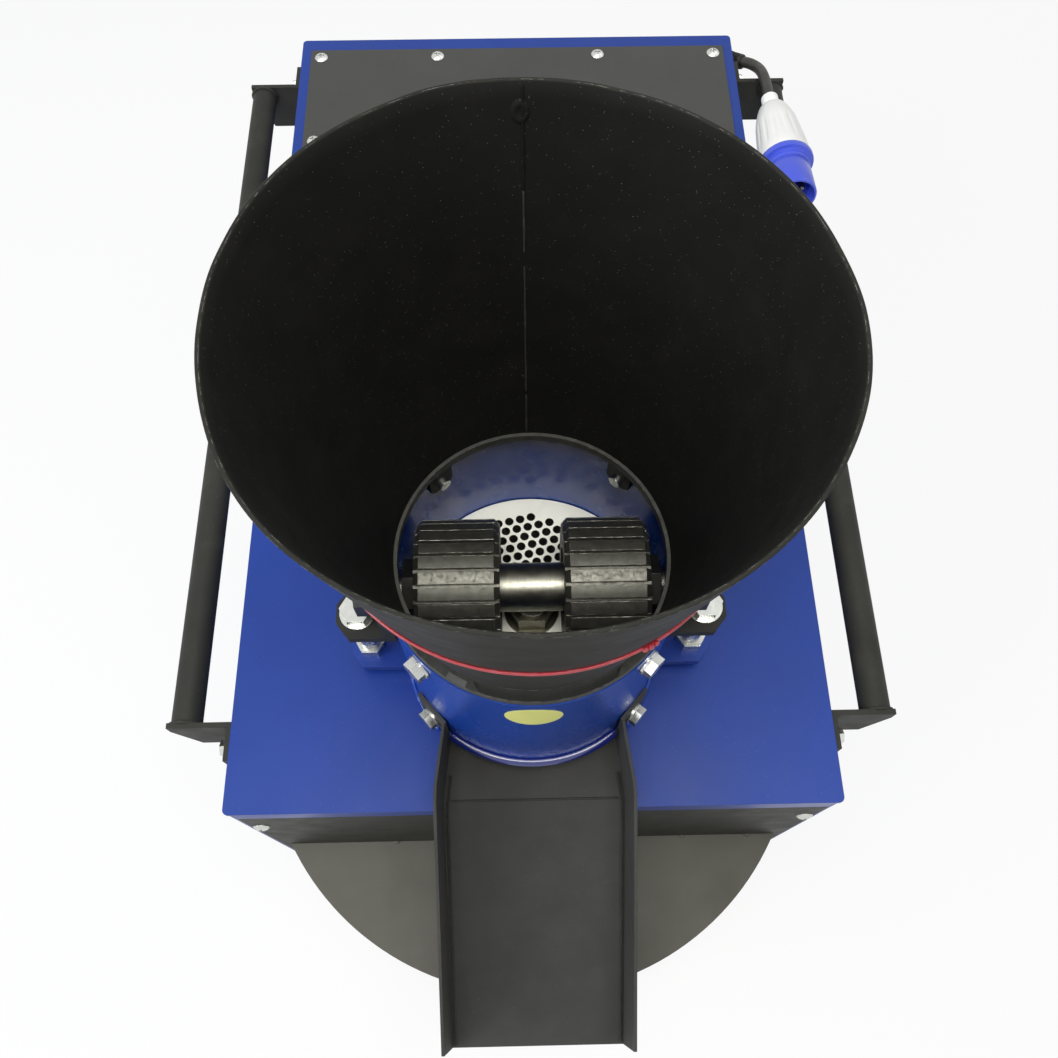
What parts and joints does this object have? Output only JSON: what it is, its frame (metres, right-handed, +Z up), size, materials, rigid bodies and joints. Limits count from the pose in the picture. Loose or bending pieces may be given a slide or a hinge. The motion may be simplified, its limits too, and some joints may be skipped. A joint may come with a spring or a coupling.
{
  "type": "feed pellet mill",
  "caption": "Flat-die feed pellet mill on a box base: conical hopper, roller drum with drilled die, outlet chute, pulley guard, carrying handles and a short power lead.",
  "frame": {"origin": "on the floor, under the middle of the machine's bounding box without its power lead", "axes": "+Y runs from the chute's end to the rear, +Z up, +X to the machine's right as seen from the chute's end"},
  "size_m": [0.6631, 1.1434, 0.901],
  "materials": {
    "blue_paint": "satin",
    "black_paint": "satin",
    "black_rubber": "matte",
    "zinc_steel": "zinc plated",
    "bright_steel": "turned",
    "die_steel": "ground, oiled",
    "roller_steel": "machined, oiled",
    "brass_nut": "machined",
    "cast_iron": "as cast",
    "motor_aluminium": "cast",
    "black_plastic": "moulded",
    "white_plastic": "moulded",
    "blue_plastic": "moulded"
  },
  "bodies": {
    "machine": {"base_frame": "blue_paint", "feet": "black_rubber", "bottom_sheet": "black_paint", "deck_plate": "blue_paint", "front_panel": "black_paint", "rear_panel": "black_paint", "left_side_sheet": "blue_paint", "right_side_sheet": "blue_paint", "panel_screws": "zinc_steel", "rear_cover": "black_paint", "cover_screws": "zinc_steel", "left_handle": "black_paint", "right_handle": "black_paint", "handle_bolts": "zinc_steel", "pulley_guard": "black_paint", "drum": "blue_paint", "window_bead": "blue_paint", "lower_lugs": "blue_paint", "lock_nuts": "zinc_steel", "hopper_cone": "black_paint", "hopper_ring": "black_paint", "hopper_tabs": "black_paint", "hopper_bolts": "zinc_steel", "chute": "black_paint", "chute_bolts": "zinc_steel", "bearing_housing": "cast_iron", "housing_bolts": "zinc_steel", "main_bearings": "bright_steel", "motor_plate": "bright_steel", "motor_bolts": "zinc_steel", "motor_bells": "motor_aluminium", "motor_body": "motor_aluminium", "fan_cowl": "black_paint", "terminal_box": "black_paint", "motor_bearings": "bright_steel", "v_belts": "black_rubber", "cable_boot": "black_rubber", "power_cord": "black_rubber", "plug_body": "white_plastic", "plug_sleeve": "blue_plastic", "plug_pins": "bright_steel"},
    "die_rotor": {"main_shaft": "bright_steel", "thrower": "bright_steel", "die": "die_steel", "die_nut": "brass_nut", "driven_pulley": "cast_iron", "pulley_nut": "zinc_steel"},
    "motor_rotor": {"motor_shaft": "bright_steel", "motor_fan": "black_plastic", "motor_pulley": "cast_iron"},
    "roller_carrier": {"roller_axle": "bright_steel", "axle_sleeve": "bright_steel", "axle_nuts": "zinc_steel", "carrier_plates": "black_paint"},
    "roller_left": {"left_roller": "roller_steel", "left_roller_bearings": "bright_steel"},
    "roller_right": {"right_roller": "roller_steel", "right_roller_bearings": "bright_steel"},
    "adjusting_bolt_left": {"left_adjuster": "zinc_steel"},
    "adjusting_bolt_right": {"right_adjuster": "zinc_steel"}
  },
  "joints": [
    {"name": "die_spin", "type": "hinge", "parent": "machine", "child": "die_rotor", "pos_m": [0, -0.23775, 0.5], "axis": [0, 0, 1], "continuous": true},
    {"name": "motor_spin", "type": "hinge", "parent": "machine", "child": "motor_rotor", "pos_m": [0, 0.29225, 0.2], "axis": [0, 0, 1], "continuous": true},
    {"name": "roller_gap", "type": "slide", "parent": "machine", "child": "roller_carrier", "axis": [0, 0, 1], "range_m": [0, 0.003]},
    {"name": "roller_left_spin", "type": "hinge", "parent": "roller_carrier", "child": "roller_left", "pos_m": [-0.0555, -0.23775, 0.5598], "axis": [1, 0, 0], "continuous": true},
    {"name": "roller_right_spin", "type": "hinge", "parent": "roller_carrier", "child": "roller_right", "pos_m": [0.0555, -0.23775, 0.5598], "axis": [1, 0, 0], "continuous": true},
    {"name": "adjusting_bolt_left_turn", "type": "hinge", "parent": "roller_carrier", "child": "adjusting_bolt_left", "pos_m": [-0.143, -0.23775, 0.5], "axis": [0, 0, 1], "range_deg": [0, 540]},
    {"name": "adjusting_bolt_right_turn", "type": "hinge", "parent": "roller_carrier", "child": "adjusting_bolt_right", "pos_m": [0.143, -0.23775, 0.5], "axis": [0, 0, 1], "range_deg": [0, 540]}
  ],
  "couplings": [
    {"joint": "motor_spin", "follows": "die_spin", "ratio": 4.2432},
    {"joint": "roller_left_spin", "follows": "die_spin", "ratio": -1.0374},
    {"joint": "roller_right_spin", "follows": "die_spin", "ratio": 1.0374},
    {"joint": "adjusting_bolt_left_turn", "follows": "roller_gap", "rad_per_m": 3141.5},
    {"joint": "adjusting_bolt_right_turn", "follows": "roller_gap", "rad_per_m": 3141.5}
  ]
}
